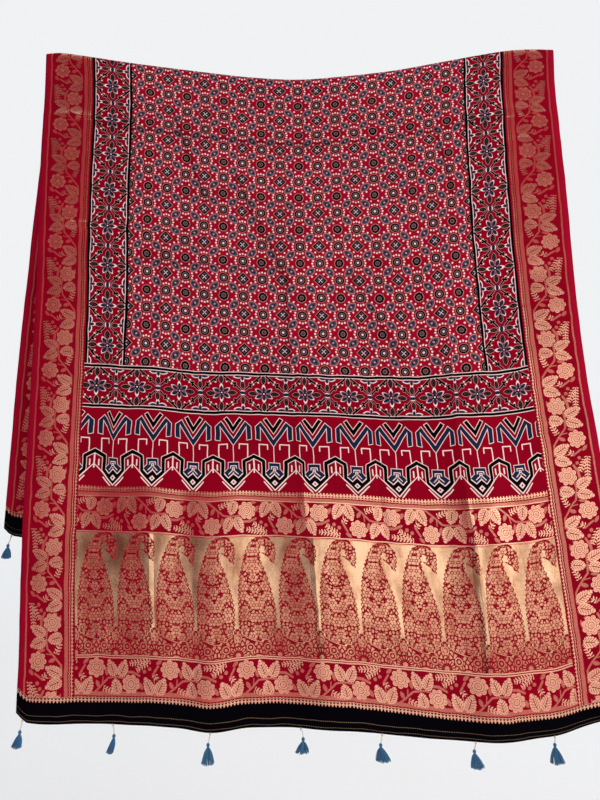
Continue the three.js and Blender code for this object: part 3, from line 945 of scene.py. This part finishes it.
PATTERNS = {
    "field": lattice_print, "side_stars": side_stars_print, "foot_stars": foot_stars_print,
    "zigzag": zigzag_print, "vine_upper": vine_upper_weave, "paisleys": paisleys_weave,
    "vine_lower": vine_lower_weave, "side": side_weave, "black_end": black_end_dye,
}
for zone in ZONES:
    cloth_mesh.materials.append(cloth_material(zone, PATTERNS[zone]))
for zone in ZONES:
    cloth_mesh.materials.append(cloth_material(zone, PATTERNS[zone], reverse=True))
body = cloth.modifiers.new("thickness", "SOLIDIFY")
body.thickness = CLOTH_THICK
body.offset = 0.0
body.material_offset = len(ZONES)
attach(cloth, "root")
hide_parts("cloth")

# The tassels: eight along each end, of blue cotton threads tied at the neck, each on a short cream
# string that is knotted through the hem.
Tassel = namedtuple("Tassel", "at string drift length spread lean")
FRONT_TASSELS = (
    Tassel(-0.537, 0.017, -0.003, 0.030, 0.009, -0.004), Tassel(-0.377, 0.016, 0.003, 0.033, 0.006, -0.006),
    Tassel(-0.202, 0.016, -0.003, 0.036, 0.011, 0.000), Tassel(-0.045, 0.015, 0.004, 0.027, 0.012, -0.002),
    Tassel(0.096, 0.015, -0.003, 0.031, 0.013, 0.004), Tassel(0.257, 0.012, -0.003, 0.032, 0.012, 0.005),
    Tassel(0.397, 0.011, -0.001, 0.035, 0.013, 0.003), Tassel(0.536, 0.014, 0.002, 0.032, 0.011, -0.003),
)
BACK_TASSELS = (
    Tassel(-0.534, 0.016, -0.005, 0.028, 0.009, -0.002), Tassel(-0.385, 0.015, 0.003, 0.032, 0.011, 0.002),
    Tassel(-0.230, 0.017, -0.002, 0.034, 0.012, -0.003), Tassel(-0.078, 0.014, 0.002, 0.031, 0.010, 0.004),
    Tassel(0.074, 0.016, -0.003, 0.035, 0.012, -0.002), Tassel(0.228, 0.015, 0.003, 0.029, 0.011, 0.003),
    Tassel(0.382, 0.017, -0.002, 0.033, 0.009, -0.004), Tassel(0.532, 0.014, 0.003, 0.031, 0.012, 0.002),
)


def add_threads(shape, paths, radius, sides, shades, layer):
    """Threads along paths: small discs that are drawn out together from point to point."""
    number = shape.faces.layers.int.get("thread") or shape.faces.layers.int.new("thread")
    caps = []
    for index, (path, shade) in enumerate(zip(paths, shades)):
        start = Matrix.Translation(path[0])
        disc = bmesh.ops.create_circle(shape, cap_ends=True, segments=sides, radius=radius, matrix=start)
        ring = disc["verts"]
        for vert in ring:
            vert[layer] = shade
        cap = ring[0].link_faces[0]
        cap[number] = index
        caps.append(cap)
    for k in range(1, len(paths[0])):
        caps = bmesh.ops.extrude_discrete_faces(shape, faces=caps)["faces"]
        for cap in caps:
            path = paths[cap[number]]
            for vert in cap.verts:
                vert.co += path[k] - path[k - 1]


def add_wrap(shape, centre, radius, thick, shade, layer):
    """One turn of thread round a neck, from a small ring that is spun about it."""
    start = Matrix.Translation(centre + Vector((radius, 0, 0))) @ Matrix.Rotation(math.pi / 2, 4, "X")
    ring = bmesh.ops.create_circle(shape, segments=6, radius=thick, matrix=start)["verts"]
    for vert in ring:
        vert[layer] = shade
    edges = list(dict.fromkeys(edge for vert in ring for edge in vert.link_edges))
    bmesh.ops.spin(
        shape, geom=ring + edges, cent=centre, axis=(0, 0, 1), angle=2 * math.pi, steps=12, use_merge=True
    )


def finished(shape, name, material):
    mesh = bpy.data.meshes.new(name)
    bmesh.ops.recalc_face_normals(shape, faces=shape.faces)
    for face in shape.faces:
        face.smooth = True
    shape.to_mesh(mesh)
    shape.free()
    mesh.materials.append(material)
    piece = bpy.data.objects.new(name, mesh)
    bpy.context.collection.objects.link(piece)
    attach(piece, "root")
    return piece


def thread_material(name, dark, light, roughness):
    """Cotton thread: each strand its own shade, with a fine twist."""
    material, shader = new_material(name, roughness)
    start = Term(shader.inputs["Base Color"])
    shade = start.node("Attribute", attribute_name="strand", output=2)
    spot = start.node("TexCoord", output=3)
    fuzz = spot.node("TexNoise", spot, None, 900.0, 2.0)
    feed(mixed(dark, light, shade * 0.75 + fuzz * 0.35), shader, "Base Color")
    x = spot.node("SeparateXYZ", spot)
    z = Term(x.socket.node.outputs[2])
    turns = (x + z) * 5200.0
    twist = turns.node("Math", turns, operation="SINE")
    normal = twist.node("Bump", 0.4, 0.0002, None, twist)
    feed(normal, shader, "Normal")
    shader.inputs["Sheen Weight"].default_value = 0.3
    shader.inputs["Specular IOR Level"].default_value = 0.25
    return material


BLUE_THREAD = thread_material("blue_cotton", dye("143F64"), dye("3680B0"), 0.75)
CREAM_THREAD = thread_material("cream_cotton", dye("B9A79F"), dye("EADCD4"), 0.8)


PLY_RADIUS, PLY_OFFSET, PLY_TURN = 0.00065, 0.0005, 14.0
STRING_BOW = 0.0008


def string_piece(name, tie, end, chance):
    """The string: two plies twisted together, with a small knot under the hem."""
    shape = bmesh.new()
    layer = shape.verts.layers.float.new("strand")
    plies = []
    for ply in range(2):
        path = []
        for k in range(19):
            share = k / 18
            angle = math.pi * ply + share * PLY_TURN
            centre = tie.lerp(end, share) + Vector((STRING_BOW * math.sin(math.pi * share), 0, 0))
            path.append(centre + PLY_OFFSET * Vector((math.cos(angle), math.sin(angle), 0)))
        plies.append(path)
    add_threads(shape, plies, PLY_RADIUS, 6, [0.3 + 0.4 * chance.random() for ply in plies], layer)
    for turn in range(3):
        knot = tie + Vector((0, 0, -0.0020 - 0.0010 * turn))
        add_wrap(shape, knot, 0.0011, 0.0007, 0.4 + 0.1 * turn, layer)
    return finished(shape, name, CREAM_THREAD)


CAP_THREADS, CAP_THREAD_RADIUS = 26, 0.00042
SKIRT_THREADS, SKIRT_THREAD_RADIUS = 110, 0.0004
THREAD_STEPS = 6


def tassel_piece(name, top, tassel, chance):
    """The tassel: a bound head and a flat, uneven skirt of fine threads, cut by hand."""
    shape = bmesh.new()
    layer = shape.verts.layers.float.new("strand")
    head, neck = 0.0060, 0.0017
    cap = []
    for k in range(CAP_THREADS):
        angle = 2 * math.pi * k / CAP_THREADS
        path = []
        for step in range(THREAD_STEPS + 1):
            share = step / THREAD_STEPS
            swell = 0.0007 + 0.0019 * math.sin(math.pi * (0.08 + 0.80 * share))
            path.append(top + Vector((swell * math.cos(angle), 0.8 * swell * math.sin(angle), -head * share)))
        cap.append(path)
    add_threads(shape, cap, CAP_THREAD_RADIUS, 4, [chance.random() for path in cap], layer)
    for turn in range(3):
        add_wrap(shape, top + Vector((0, 0, -head - 0.0006 * turn)), neck, 0.00045, 0.25, layer)
    skirt = []
    for k in range(SKIRT_THREADS):
        aside = chance.uniform(-1, 1)
        deep = chance.uniform(-1, 1) * math.sqrt(max(0.0, 1 - 0.7 * aside * aside))
        reach = (tassel.length - head) * (0.9 - 0.10 * aside * aside + 0.09 * chance.random())
        curl = chance.uniform(-0.0012, 0.0012)
        path = []
        for step in range(THREAD_STEPS + 1):
            share = step / THREAD_STEPS
            fan = share ** (0.75 + 0.06 * chance.random())
            x = (0.8 * neck * (1 - share) + tassel.spread * fan) * aside + tassel.lean * share**1.4
            x += curl * math.sin(math.pi * share)
            y = (0.7 * neck * (1 - share) + 0.42 * tassel.spread * fan) * deep
            path.append(top + Vector((x, y, -head - reach * share)))
        skirt.append(path)
    add_threads(shape, skirt, SKIRT_THREAD_RADIUS, 4, [chance.random() for path in skirt], layer)
    return finished(shape, name, BLUE_THREAD)


TIE_DEPTH = 0.001  # how far up inside the hem a string is tied
tassel_pieces = []
for hem_along, label, tassels in ((0.0, "front", FRONT_TASSELS), (CLOTH_LENGTH, "back", BACK_TASSELS)):
    for number, tassel in enumerate(tassels, 1):
        chance = random.Random(f"{label}{number}")
        hem_point = Vector(hung_points(np.array([tassel.at]), np.array([hem_along]))[0])
        tie = hem_point + Vector((0, 0, TIE_DEPTH))
        end = hem_point + Vector((tassel.drift, 0, -tassel.string))
        string = string_piece(f"string_{label}_{number}", tie, end, chance)
        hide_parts(f"tassel_string_{label}_{number}")
        skirt = tassel_piece(f"threads_{label}_{number}", end, tassel, chance)
        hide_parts(f"tassel_{label}_{number}")
        tassel_pieces += [string, skirt]

# The studio: a wide pale floor some way below the tassels, an even pale surround, three soft lamps, and
# cards in front that stand for the dim side of the room.
FLOOR_SIZE, FLOOR_HEIGHT = 80.0, -1.75
CARD_PLACE = -3.4  # how far in front of the cloth the cards stand


def matt_panel(name, colour, wide, tall):
    """A flat matt panel that lies level about its middle."""
    paint, shader = new_material(name, 0.9)
    shader.inputs["Base Color"].default_value = colour
    shape = bmesh.new()
    bmesh.ops.create_grid(shape, x_segments=1, y_segments=1, size=0.5)
    bmesh.ops.scale(shape, vec=(wide, tall, 1.0), verts=shape.verts)
    mesh = bpy.data.meshes.new(name)
    shape.to_mesh(mesh)
    shape.free()
    mesh.materials.append(paint)
    panel = bpy.data.objects.new(name, mesh)
    bpy.context.collection.objects.link(panel)
    return panel


floor = matt_panel("floor", (0.97, 0.975, 0.98, 1.0), FLOOR_SIZE, FLOOR_SIZE)
floor.location = (0, 0, FLOOR_HEIGHT)

surround = bpy.data.worlds.new("surround")
surround.use_nodes = True
surround.node_tree.nodes["Background"].inputs["Color"].default_value = (0.87, 0.885, 0.90, 1.0)
bpy.context.scene.world = surround


def card(name, left, right, bottom, top, grey):
    """A matt card in front of the cloth, which the gold thread mirrors as a dim part of a room."""
    placed = matt_panel(name, (grey, grey, grey, 1.0), right - left, top - bottom)
    placed.location = ((left + right) / 2, CARD_PLACE, (bottom + top) / 2)
    placed.rotation_euler = (math.radians(90), 0, 0)
    placed.visible_camera = False


card("dark_card", -5.0, -1.7, -1.74, 1.0, 0.03)
card("grey_card", -1.7, -0.5, -1.74, 1.0, 0.45)
card("right_card", 1.6, 3.2, -0.3, 1.0, 0.30)
card("top_card", -5.0, 5.0, 1.0, 5.0, 0.03)


def soft_lamp(name, place, aim, size, power, tint, mirrored_by_gold=True):
    lamp = bpy.data.lights.new(name, "AREA")
    lamp.shape = "DISK"
    lamp.size = size
    lamp.energy = power
    lamp.color = tint
    holder = bpy.data.objects.new(name, lamp)
    holder.location = place
    holder.rotation_mode = "QUATERNION"
    holder.rotation_quaternion = (Vector(aim) - Vector(place)).to_track_quat("-Z", "Y")
    holder.visible_glossy = mirrored_by_gold
    bpy.context.collection.objects.link(holder)


soft_lamp("key", (3.2, -2.0, 0.1), (0.0, 0.0, -0.7), 3.0, 52.0, (1.0, 0.98, 0.95))
soft_lamp("fill", (-3.4, -1.9, 0.3), (0.0, 0.0, -0.7), 2.4, 14.0, (0.96, 0.98, 1.0), False)
soft_lamp("window", (0.9, -3.2, -0.95), (0.2, 0.0, -0.9), 2.2, 13.5, (1.0, 0.98, 0.95))
